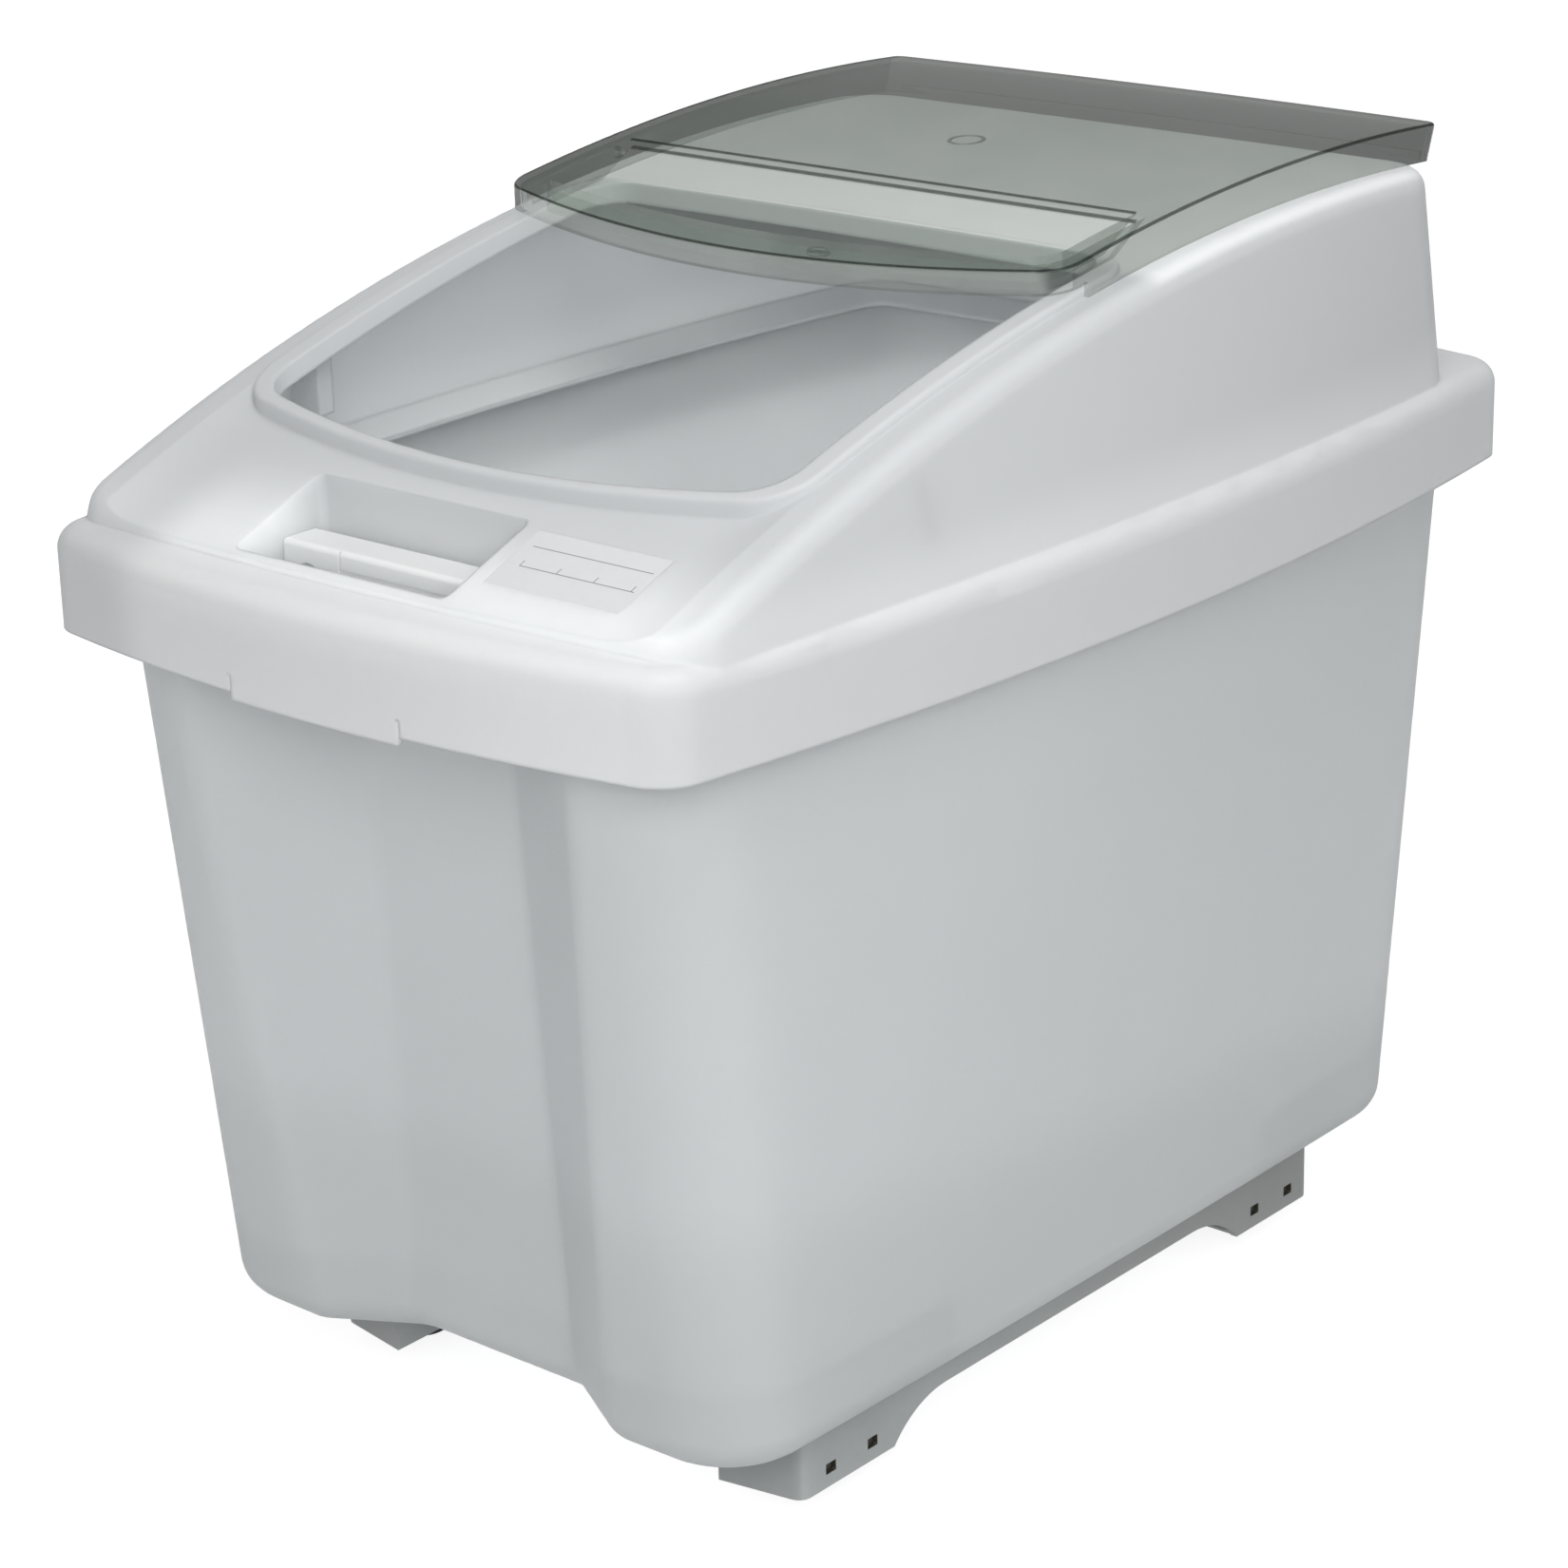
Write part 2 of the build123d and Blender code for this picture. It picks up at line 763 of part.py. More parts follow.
def trough_body(wall, inner_radius):
    """Finger trough with upright front and sides and a sloped back, grown by a wall."""
    foot_rise = math.sqrt(trough_floor_radius**2 - (trough_back - arc_centre_y) ** 2)
    foot_z = arc_centre_z + foot_rise - wall
    back_y = trough_back + wall
    slope = trough_back_run / (lid_top_radius - trough_floor_radius)
    half_width = trough_half_width + wall
    front_y = trough_front - wall
    corner_y = front_y + trough_front_bow
    with BuildPart() as body:
        with BuildSketch(Plane.XY.offset(rim_top)) as plan:
            with BuildLine():
                ThreePointArc((-half_width, corner_y), (0, front_y), (half_width, corner_y))
                Polyline(
                    (half_width, corner_y),
                    (half_width, back_y),
                    (-half_width, back_y),
                    (-half_width, corner_y),
                )
            make_face()
            fillet(plan.vertices().group_by(Axis.Y)[0], trough_corner_radius + wall)
        extrude(amount=lid_plan_top - rim_top)
        with BuildSketch(Plane.YZ):
            with BuildLine():
                Polyline(
                    (trough_back - trough_corner_radius, foot_z),
                    (back_y, foot_z),
                    (back_y + slope * lid_height, foot_z + lid_height),
                    (trough_back - trough_corner_radius, foot_z + lid_height),
                    close=True,
                )
            make_face()
        extrude(amount=half_width, both=True)
        add(arc_layer(inner_radius, lid_top_radius, skirt_half_width), mode=Mode.INTERSECT)
    return body.part


with BuildPart() as sliding_lid:
    add(lid_body(0, lid_skirt_radius, lid_top_radius))
    lid_top = sliding_lid.faces().filter_by(GeomType.CYLINDER).sort_by(Axis.Z)[-1]
    fillet(lid_top.edges(), lid_edge_fillet)
    add(lid_body(lid_wall, rail_arc_radius, lid_top_radius - lid_wall), mode=Mode.SUBTRACT)
    front_skirt_end = lid_front + lid_front_bow + lid_front_radius
    front_skirt_zone = block(
        -skirt_half_width,
        skirt_half_width,
        lid_front - lid_wall,
        front_skirt_end,
        rim_top,
        lid_plan_top,
    )
    add(
        front_skirt_zone
        & arc_layer(ceiling_radius, lid_top_radius - lid_front_skirt, skirt_half_width),
        mode=Mode.SUBTRACT,
    )
    back_skirt_start = lid_back - lid_back_bow - lid_back_radius
    back_skirt_zone = block(
        lid_back_radius - lid_half_width,
        lid_half_width - lid_back_radius,
        back_skirt_start,
        lid_back + lid_wall,
        rim_top,
        lid_plan_top,
    )
    add(
        back_skirt_zone
        & arc_layer(ceiling_radius, lid_top_radius - lid_back_skirt, skirt_half_width),
        mode=Mode.SUBTRACT,
    )
    add(trough_body(lid_wall, trough_bottom_radius))
    add(trough_body(0, trough_floor_radius), mode=Mode.SUBTRACT)
sliding_lid.part.label = "sliding_lid"
export_step(sliding_lid.part, "parts/sliding_lid.step")

# Scoop

grip_left = pocket_left + scoop_play
grip_right = pocket_right - scoop_play
grip_back = pocket_back - grip_back_gap
grip_front = grip_back - grip_depth
grip_bottom = pocket_floor + bowl_height
grip_top = grip_bottom + grip_height
bowl_front = grip_back - bowl_depth
grip_panel_left = grip_right - grip_panel_length

with BuildPart() as scoop:
    add(block(grip_left, grip_right, grip_front, grip_back, grip_bottom, grip_top))
    fillet(scoop.edges(), grip_fillet)
    with BuildSketch(Plane.XZ.offset(-grip_front - finger_arch_depth)):
        arch_x = grip_left + finger_arch_inset + finger_arch_width / 2
        with Locations((arch_x, grip_bottom + finger_arch_rise)):
            Circle(finger_arch_width / 2)
        with Locations((arch_x, grip_bottom)):
            Rectangle(finger_arch_width, 2 * finger_arch_rise)
    extrude(amount=finger_arch_depth + grip_fillet, mode=Mode.SUBTRACT)
    add(
        block(
            grip_panel_left - grip_groove,
            grip_panel_left,
            grip_front,
            grip_front + grip_groove,
            grip_bottom + grip_panel_margin,
            grip_top,
        ),
        mode=Mode.SUBTRACT,
    )
    add(
        block(
            grip_panel_left - grip_groove,
            grip_right,
            grip_front,
            grip_front + grip_groove,
            grip_bottom + grip_panel_margin - grip_groove,
            grip_bottom + grip_panel_margin,
        ),
        mode=Mode.SUBTRACT,
    )
    bowl_left = grip_left + bowl_inset
    bowl_right = grip_right - bowl_inset
    with BuildSketch(Plane.YZ.offset(bowl_left)):
        with BuildLine():
            Polyline(
                (bowl_front, pocket_floor),
                (grip_back, pocket_floor),
                (grip_back, grip_bottom + grip_fillet),
                (grip_back - scoop_wall, grip_bottom + grip_fillet),
                (grip_front, grip_bottom),
                (bowl_front, pocket_floor + bowl_lip),
                close=True,
            )
        make_face()
    extrude(amount=bowl_right - bowl_left)
    add(
        block(
            bowl_left + scoop_wall,
            bowl_right - scoop_wall,
            bowl_front - scoop_wall,
            grip_back - scoop_wall,
            pocket_floor + scoop_wall,
            grip_bottom,
        ),
        mode=Mode.SUBTRACT,
    )
scoop.part.label = "scoop"
export_step(scoop.part, "parts/scoop.step")

# Rails

bay_inner_x = rail_inner_x + rail_wall
bay_outer_x = rail_outer_x - rail_wall
housing_front_end = front_axle_y + housing_reach
housing_back_end = back_axle_y - housing_reach
arch_run = math.sqrt(arch_radius**2 - (arch_radius - housing_height) ** 2)
lug_z = axle_z - lug_below_axle

with BuildPart() as right_rail:
    with BuildSketch(Plane.XY.offset(housing_bottom)) as rail_plan:
        with BuildLine():
            Polyline(
                (rail_inner_x, rail_front),
                (rail_outer_x, rail_front + rail_front_skew),
                (rail_outer_x, rail_back),
                (rail_inner_x, rail_back),
                close=True,
            )
        make_face()
        fillet(rail_plan.vertices().group_by(Axis.X)[-1], rail_corner_radius)
    extrude(amount=tub_bottom - housing_bottom)
    with BuildSketch(Plane.YZ):
        with BuildLine():
            TangentArc(
                (housing_front_end + arch_run, rail_bottom),
                (housing_front_end, housing_bottom),
                tangent=(-1, 0),
            )
            Line((housing_front_end, housing_bottom), (housing_back_end, housing_bottom))
            TangentArc(
                (housing_back_end - arch_run, rail_bottom),
                (housing_back_end, housing_bottom),
                tangent=(1, 0),
            )
            Line((housing_back_end - arch_run, rail_bottom), (housing_front_end + arch_run, rail_bottom))
        make_face()
    extrude(amount=rail_outer_x + rail_wall, mode=Mode.SUBTRACT)
    for axle_y in axle_places.values():
        add(
            block(
                bay_inner_x,
                bay_outer_x,
                axle_y - wheel_bay_half,
                axle_y + wheel_bay_half,
                0,
                tub_bottom - rail_wall,
            ),
            mode=Mode.SUBTRACT,
        )
        add(
            block(
                wheel_centre_x - wheel_window_half,
                wheel_centre_x + wheel_window_half,
                axle_y - wheel_bay_half,
                axle_y + wheel_bay_half,
                0,
                tub_bottom,
            ),
            mode=Mode.SUBTRACT,
        )
        for end in (-1, 1):
            lug_y = axle_y + end * lug_spacing / 2
            add(
                block(
                    rail_inner_x,
                    rail_outer_x,
                    lug_y - lug_length / 2 - lug_fit,
                    lug_y + lug_length / 2 + lug_fit,
                    lug_z - lug_height / 2 - lug_fit,
                    lug_z + lug_height / 2 + lug_fit,
                ),
                mode=Mode.SUBTRACT,
            )
    add(
        block(
            bay_inner_x,
            bay_outer_x,
            front_axle_y + wheel_bay_half + rail_wall,
            back_axle_y - wheel_bay_half - rail_wall,
            0,
            tub_bottom - rail_wall,
        ),
        mode=Mode.SUBTRACT,
    )
    with BuildSketch(Plane.XY.offset(tub_bottom - rail_wall)):
        with Locations(*[place for place in screw_places if place[0] > 0]):
            Circle(boss_diameter / 2 + screw_fit)
    extrude(amount=rail_wall, mode=Mode.SUBTRACT)
right_rail.part.label = "right_rail"
export_step(right_rail.part, "parts/right_rail.step")

with BuildPart() as left_rail:
    mirror(right_rail.part, about=Plane.YZ)
left_rail.part.label = "left_rail"
export_step(left_rail.part, "parts/left_rail.step")

# Screws that hold the rails

with BuildPart() as rail_screws:
    with BuildSketch(Plane.XY.offset(tub_bottom - rail_wall - screw_head_height)):
        with Locations(*screw_places):
            Circle(screw_head_diameter / 2)
    extrude(amount=screw_head_height)
    with BuildSketch(Plane.XY.offset(tub_bottom - rail_wall)):
        with Locations(*screw_places):
            Circle(screw_shank_diameter / 2)
    extrude(amount=rail_wall + tub_wall - screw_skin - screw_fit)
    with BuildSketch(Plane.XY.offset(tub_bottom - rail_wall - screw_head_height)):
        with Locations(*screw_places):
            RegularPolygon(screw_shank_diameter / 2, screw_socket_sides)
    extrude(amount=screw_head_height / 2, mode=Mode.SUBTRACT)
rail_screws.part.label = "rail_screws"
export_step(rail_screws.part, "parts/rail_screws.step")

# Wheels, tyres, axles and bearing plates

spacer_length = 2 * wheel_inset
hub_length = rail_width - 2 * (rail_wall + bearing_plate_thickness + wheel_play) - spacer_length
axle_length = rail_width - 2 * (rail_wall + wheel_play)
tyre_bore = wheel_radius - tyre_depth


def bearing_plate(sign, axle_y, wall_x, outward, spacer):
    """Plate against one wall of a wheel bay, with two lugs in the wall's windows and a hub spacer."""
    with BuildPart() as plate:
        with BuildSketch(Plane.YZ.offset(sign * wall_x)):
            with Locations((axle_y, axle_z)):
                RectangleRounded(bearing_plate_length, bearing_plate_height, lug_height)
        extrude(amount=-sign * outward * bearing_plate_thickness)
        with BuildSketch(Plane.YZ.offset(sign * wall_x)):
            with Locations((axle_y, axle_z)):
                Circle(hub_diameter / 2)
        extrude(amount=-sign * outward * (bearing_plate_thickness + spacer))
        with BuildSketch(Plane.YZ.offset(sign * wall_x)):
            with Locations((axle_y, axle_z)):
                Circle(axle_diameter / 2 + axle_fit)
        extrude(amount=-sign * outward * (bearing_plate_thickness + spacer), mode=Mode.SUBTRACT)
        with BuildSketch(Plane.YZ.offset(sign * wall_x)):
            with Locations((axle_y - lug_spacing / 2, lug_z), (axle_y + lug_spacing / 2, lug_z)):
                Rectangle(lug_length, lug_height)
        extrude(amount=sign * outward * (rail_wall - lug_recess))
    return plate.part


for side, sign in side_signs.items():
    for end, axle_y in axle_places.items():
        place = end + "_" + side
        axle_plane = Plane.YZ.offset(sign * rail_centre_x)
        wheel_plane = Plane.YZ.offset(sign * wheel_centre_x)

        with BuildPart() as axle:
            with BuildSketch(axle_plane):
                with Locations((axle_y, axle_z)):
                    Circle(axle_diameter / 2)
            extrude(amount=axle_length / 2, both=True)
        axle.part.label = "axle_" + place
        export_step(axle.part, "parts/axle_" + place + ".step")

        with BuildPart() as wheel:
            with BuildSketch(wheel_plane):
                with Locations((axle_y, axle_z)):
                    Circle(tyre_bore - rim_depth + seat_fit)
            extrude(amount=web_thickness / 2, both=True)
            with BuildSketch(wheel_plane):
                with Locations((axle_y, axle_z)):
                    Circle(tyre_bore)
                    Circle(tyre_bore - rim_depth, mode=Mode.SUBTRACT)
            extrude(amount=rim_width / 2, both=True)
            with BuildSketch(wheel_plane):
                with Locations((axle_y, axle_z)):
                    Circle(hub_diameter / 2)
            extrude(amount=hub_length / 2, both=True)
            with BuildSketch(wheel_plane):
                with Locations((axle_y, axle_z)):
                    Circle(axle_diameter / 2 + running_fit)
            extrude(amount=hub_length, both=True, mode=Mode.SUBTRACT)
        wheel.part.label = "wheel_" + place
        export_step(wheel.part, "parts/wheel_" + place + ".step")

        with BuildPart() as tyre:
            with BuildSketch(wheel_plane):
                with Locations((axle_y, axle_z)):
                    Circle(wheel_radius)
            extrude(amount=tyre_width / 2, both=True)
            fillet(tyre.edges(), tyre_crown)
            with BuildSketch(wheel_plane):
                with Locations((axle_y, axle_z)):
                    Circle(tyre_bore + seat_fit)
            extrude(amount=tyre_width, both=True, mode=Mode.SUBTRACT)
        tyre.part.label = "tyre_" + place
        export_step(tyre.part, "parts/tyre_" + place + ".step")

        plate_faces = (
            ("outer", bay_outer_x, 1, spacer_length),
            ("inner", bay_inner_x, -1, 0),
        )
        for face, wall_x, outward, spacer in plate_faces:
            name = "bearing_plate_" + place + "_" + face
            plate = bearing_plate(sign, axle_y, wall_x, outward, spacer)
            plate.label = name
            export_step(plate, "parts/" + name + ".step")
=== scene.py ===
import json
import math
import bmesh
import bpy
from mathutils import Matrix, Vector

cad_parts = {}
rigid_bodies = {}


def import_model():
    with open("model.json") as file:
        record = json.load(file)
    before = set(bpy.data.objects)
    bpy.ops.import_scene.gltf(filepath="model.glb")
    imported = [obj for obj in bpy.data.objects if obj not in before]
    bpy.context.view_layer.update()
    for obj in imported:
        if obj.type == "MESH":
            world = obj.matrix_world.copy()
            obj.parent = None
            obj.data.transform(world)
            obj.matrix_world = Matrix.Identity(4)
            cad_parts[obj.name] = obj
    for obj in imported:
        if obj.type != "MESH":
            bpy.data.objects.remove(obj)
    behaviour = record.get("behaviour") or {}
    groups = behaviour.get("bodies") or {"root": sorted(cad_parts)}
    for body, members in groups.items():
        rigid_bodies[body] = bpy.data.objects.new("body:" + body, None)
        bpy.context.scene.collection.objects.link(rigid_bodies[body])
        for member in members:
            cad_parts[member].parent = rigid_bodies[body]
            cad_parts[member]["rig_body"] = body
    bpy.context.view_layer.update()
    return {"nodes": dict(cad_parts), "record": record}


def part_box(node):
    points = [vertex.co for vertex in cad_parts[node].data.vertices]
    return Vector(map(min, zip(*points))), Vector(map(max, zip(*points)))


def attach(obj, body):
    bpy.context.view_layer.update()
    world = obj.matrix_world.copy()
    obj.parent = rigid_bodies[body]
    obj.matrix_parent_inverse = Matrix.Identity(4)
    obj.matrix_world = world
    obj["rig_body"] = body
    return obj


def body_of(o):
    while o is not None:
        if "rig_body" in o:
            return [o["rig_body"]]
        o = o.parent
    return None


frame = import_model()
nodes = frame["nodes"]
slot_of_node = {part["node"]: part["material_slot"] for part in frame["record"]["subparts"]}

# Camera: place in metres, turns in degrees, lens and film in millimetres
camera_place = Vector((1.4244, -1.6791, 1.1008))
camera_yaw = math.radians(40.85)
camera_pitch = math.radians(19.86)
camera_roll = math.radians(-1.49)
camera_lens = 97.17
camera_sensor = 36.0
camera_reach = 200.0

# Lamps: place, aim, width of the disc and power
lamps = {
    "key_lamp": ((1.4, -1.6, 1.3), (0.1, -0.1, 0.35), 1.3, 28.0),
    "front_lamp": ((0.65, -2.05, 1.2), (0.0, -0.1, 0.35), 1.3, 5.0),
    "left_lamp": ((-1.5, -1.7, 0.6), (0.0, -0.2, 0.3), 1.3, 7.0),
    "back_lamp": ((2.2, 0.5, 1.2), (0.1, 0.1, 0.35), 1.3, 10.5),
    "rear_lamp": ((-1.5, 1.1, 0.35), (0.0, 0.1, 0.35), 0.6, 5.0),
    "top_lamp": ((0.6, -0.15, 2.2), (0.0, 0.0, 0.5), 1.4, 21.0),
}
# This lamp gives light, but no mirror image of it shows on the bin
unmirrored_lamp = "key_lamp"

# Floor and world
white = (1.0, 1.0, 1.0, 1.0)
ambient_colour = (0.97, 0.985, 1.0, 1.0)
ambient_strength = 0.1
# Painted shade: the white background seen through the lid is dimmed to this
background_shade_through_lid = 0.13
floor_size = 60.0
floor_grey = 0.35
floor_grain = 0.01
floor_glow = 0.87
glow_near = 0.6
glow_far = 2.2
light_bounces = 8
see_through_layers = 24

# Places on the bin, in metres
label_low, label_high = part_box("write_on_label")
lid_low, lid_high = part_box("sliding_lid")
tub_low, tub_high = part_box("tub")
rail_low, rail_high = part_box("right_rail")
hood_top_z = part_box("hood")[1][2]
rim_z = tub_high[2]
opening_back_y = 0.035
opening_fade = 0.02
roof_low_z = hood_top_z - 0.05
roof_high_z = hood_top_z - 0.035
skirt_low_z = rim_z + 0.01
skirt_high_z = rim_z + 0.05
# The front panel and the scoop's pocket, where painted light makes the hood paler
panel_back_y = label_high[1] + 0.02
panel_front_y = label_low[1] - 0.01
panel_fade = 0.03
# The painted light on the front panel fades out past these, on the left and right
pale_left = 0.12
pale_left_fade = 0.04
pale_right = 0.185
pale_right_fade = 0.03
# Painted shade on the tub: its wall is darker below this slanted band
shade_band_low_z = 0.13
shade_band_high_z = 0.19
shade_band_slant = 0.106
window_z = 0.0245
window_half = 0.0036
window_soft = 0.0004
window_wall = 0.004
window_wall_soft = 0.0002
trough_edge_y = lid_low[1] + 0.1175
trough_half = lid_high[0] - 0.017
trough_soft = 0.003
trough_side_soft = 0.001
trough_line = 0.0016
trough_front_y = trough_edge_y - 0.03
trough_front_soft = 0.005

# Painted shade and light: nought is a material's darker colour, one its paler colour
tub_shade = 0.5
tub_shade_band_gain = 0.2
tub_foot_gain = 0.2
rail_back_painted_shade = 0.72
rail_front_face_painted_shade = 0.8
skirt_double_wall_and_painted_light = 0.5
wall_thin_and_painted_shade = 0.25
roof_painted_light = 0.7
level_painted_light = 0.05
panel_painted_light = 0.25
pocket_painted_light = 0.5
panel_level_painted_light_change = -0.4

# Lines ruled on the label, in metres
rule_half = 0.0003
rule_soft = 0.0001
rule_left = label_low[0] + 0.006
rule_right = label_high[0] - 0.003
rule_upper_y = label_high[1] - 0.011
rule_lower_y = label_high[1] - 0.025
rule_inset = 0.004
rule_strength = 0.75
tick_count = 4
tick_height = 0.004
tick_margin = 0.006

# Moulded plastic
plastic_ior = 1.5
cloud_scale = 7.0
cloud_range = (0.3, 0.7)
cloud_share = 0.05
fleck_scale = 160.0
fleck_range = (0.35, 0.75)
fleck_share = 0.025
edge_samples = 6
edge_share = 0.35
grain_strength = 0.18
grain_depth = 0.0003
polish_scale = 24.0
polish_range = (0.25, 0.75)
polish_spread = 0.06
noise_roughness = 0.55

# Clear lid
haze_scale = 14.0
haze_range = (0.3, 0.7)
ripple_scale = 40.0
ripple_strength = 0.05
ripple_depth = 0.0004
wear_scale = 30.0
wear_range = (0.3, 0.7)
wear_roughness = (0.05, 0.12)
gloss_strength = 0.35
trough_gloss_change = -0.25
gloss_least = 0.01
# Share of painted light on the lid's front walls
painted_light_share = 0.07
# Strength of the painted dark reflection lines on the lid and on its marks
lid_painted_line_strength = 0.85
mark_painted_line_strength = 0.2

# Steel
stain_scale = 90.0
stain_range = (0.35, 0.7)
steel_roughness = (0.28, 0.42)
steel_grain_scale = 1800.0
steel_grain_strength = 0.1
steel_grain_depth = 0.0002

# Slopes of a surface, from where a zone starts to where it is full
edge_slope = (0.98, 0.8)
hood_level_slope = (0.5, 0.9)
window_slope = (0.5, 0.3)
rail_end_slope = (-0.5, -0.9)
lid_level_slope = (0.93, 0.985)
lid_side_slope = (0.2, 0.4)
lid_end_slope = (0.3, 0.45)
lid_upright_slope = (0.6, 0.3)
lid_forward_slope = (0.7, 0.4)

# Materials


class Look:
    """Short names for making and joining the nodes of one material or world."""

    def __init__(self, owner, output):
        owner.use_nodes = True
        self.owner = owner
        self.tree = owner.node_tree
        self.tree.nodes.clear()
        self.output = self.add(output)

    def add(self, kind, **settings):
        """A new node with its settings."""
        made = self.tree.nodes.new(kind)
        for key, value in settings.items():
            setattr(made, key, value)
        return made

    def feed(self, socket, value):
        """Joins an output to a socket, or sets the socket to a constant."""
        if isinstance(value, bpy.types.NodeSocket):
            self.tree.links.new(value, socket)
        else:
            socket.default_value = value

    def place(self):
        """Place on the object."""
        return self.add("ShaderNodeTexCoord").outputs["Object"]

    def normal(self):
        """Direction in which the surface faces."""
        return self.add("ShaderNodeNewGeometry").outputs["Normal"]

    def split(self, vector):
        """The X, Y and Z parts of a vector, by name."""
        made = self.add("ShaderNodeSeparateXYZ")
        self.feed(made.inputs[0], vector)
        return made.outputs

    def math(self, operation, *values, clamp=False):
        """The result of one sum."""
        made = self.add("ShaderNodeMath", operation=operation, use_clamp=clamp)
        for socket, value in zip(made.inputs, values):
            self.feed(socket, value)
        return made.outputs[0]

    def absolute(self, value):
        """A value without its sign."""
        return self.math("ABSOLUTE", value)

    def product(self, first, *others):
        """All the values multiplied."""
        for other in others:
            first = self.math("MULTIPLY", first, other)
        return first

    def largest(self, first, *others):
        """The largest of the values."""
        for other in others:
            first = self.math("MAXIMUM", first, other)
        return first

    def scaled(self, value, factor, added, clamp=False):
        """A value times a factor, plus a number."""
        return self.math("MULTIPLY_ADD", value, factor, added, clamp=clamp)

    def dot(self, first, second):
        """How far two directions agree."""
        made = self.add("ShaderNodeVectorMath", operation="DOT_PRODUCT")
        self.feed(made.inputs[0], first)
        self.feed(made.inputs[1], second)
        return made.outputs["Value"]

    def ramp(self, value, low, high, to_low=0.0, to_high=1.0):
        """A smooth step from one level to another."""
        made = self.add("ShaderNodeMapRange", interpolation_type="SMOOTHSTEP")
        for socket, item in zip(made.inputs, (value, low, high, to_low, to_high)):
            self.feed(socket, item)
        return made.outputs["Result"]

    def noise(self, scale, detail=3.0):
        """Cloudy noise that stays in place on the object."""
        made = self.add("ShaderNodeTexNoise")
        self.feed(made.inputs["Vector"], self.place())
        made.inputs["Scale"].default_value = scale
        made.inputs["Detail"].default_value = detail
        made.inputs["Roughness"].default_value = noise_roughness
        return made.outputs["Fac"]

    def mix(self, factor, first, second):
        """A colour between two colours."""
        made = self.add("ShaderNodeMix", data_type="RGBA", blend_type="MIX")
        self.feed(made.inputs["Factor"], factor)
        self.feed(made.inputs["A"], first)
        self.feed(made.inputs["B"], second)
        return made.outputs["Result"]

    def bump(self, height, strength, depth):
        """Fine relief on the surface."""
        made = self.add("ShaderNodeBump")
        made.inputs["Strength"].default_value = strength
        made.inputs["Distance"].default_value = depth
        self.feed(made.inputs["Height"], height)
        return made

    def blend(self, share, first, second):
        """A surface between two surfaces."""
        made = self.add("ShaderNodeMixShader")
        for socket, item in zip(made.inputs, (share, first, second)):
            self.feed(socket, item)
        return made.outputs[0]

    def total(self, first, second):
        """Two surfaces on top of each other."""
        made = self.add("ShaderNodeAddShader")
        self.feed(made.inputs[0], first)
        self.feed(made.inputs[1], second)
        return made.outputs[0]

    def finish(self, surface):
        """Gives the surface to the material or world, and returns that."""
        self.tree.links.new(surface, self.output.inputs["Surface"])
        return self.owner


def new_material(name):
    """An empty material, ready for its nodes."""
    return Look(bpy.data.materials.new(name), "ShaderNodeOutputMaterial")


def rgb(red, green, blue):
    """Linear colour from 8-bit display values."""
    linear = []
    for value in (red, green, blue):
        part = value / 255
        linear.append(part / 12.92 if part <= 0.04045 else ((part + 0.055) / 1.055) ** 2.4)
    return (*linear, 1.0)


# Colours of the clear lid: the smoke tints hold painted shade on the level top and a painted reflection
# in the trough, the line colour is a painted dark reflection, and the paler gloss colour is painted
# light
wall_clear = rgb(254, 255, 254)
smoke_and_shade_pale = rgb(246, 248, 246)
smoke_and_shade_dark = rgb(242, 245, 242)
trough_smoke_and_reflection = rgb(245, 248, 245)
painted_line_dark = rgb(96, 102, 96)
gloss_dark = rgb(80, 84, 82)
gloss_painted_light = rgb(222, 226, 223)


def plastic_colour(look, pale, dark, zone, bevel):
    """Shade of the zone, cloudy and flecked, paler along the edges."""
    edge = look.ramp(look.dot(bevel, look.normal()), *edge_slope)
    cloud = look.ramp(look.noise(cloud_scale, 4.0), *cloud_range)
    flecks = look.ramp(look.noise(fleck_scale, 2.0), *fleck_range)
    colour = look.mix(zone(look), dark, pale)
    colour = look.mix(look.product(cloud, cloud_share), colour, dark)
    colour = look.mix(look.product(flecks, fleck_share), colour, dark)
    return look.mix(look.product(edge, edge_share), colour, pale)


def moulded_plastic(name, pale, dark, zone, roughness, grain, edge_radius, through=0.0, shine=0.5):
    """Satin moulded plastic: cloudy colour, fine grain, softened edges made paler, and roughness that
    varies in patches.
    """
    look = new_material(name)
    soft_edge = look.add("ShaderNodeBevel", samples=edge_samples)
    soft_edge.inputs["Radius"].default_value = edge_radius
    bevel = soft_edge.outputs["Normal"]
    colour = plastic_colour(look, pale, dark, zone, bevel)
    bump = look.bump(look.noise(grain, 2.0), grain_strength, grain_depth)
    look.feed(bump.inputs["Normal"], bevel)
    smoother = roughness - polish_spread
    rougher = roughness + polish_spread
    polish = look.ramp(look.noise(polish_scale), *polish_range, smoother, rougher)
    plastic = look.add("ShaderNodeBsdfPrincipled")
    look.feed(plastic.inputs["Base Color"], colour)
    look.feed(plastic.inputs["Roughness"], polish)
    look.feed(plastic.inputs["Normal"], bump.outputs["Normal"])
    plastic.inputs["IOR"].default_value = plastic_ior
    plastic.inputs["Specular IOR Level"].default_value = shine
    if not through:
        return look.finish(plastic.outputs["BSDF"])
    behind = look.add("ShaderNodeBsdfTranslucent")
    look.feed(behind.inputs["Color"], colour)
    look.feed(behind.inputs["Normal"], bevel)
    return look.finish(look.blend(through, plastic.outputs["BSDF"], behind.outputs["BSDF"]))


def even_zone(look):
    """The same shade all over, a little cloudier in places."""
    return look.ramp(look.noise(3.0, 2.0), 0.2, 0.8, 0.75, 1.0)


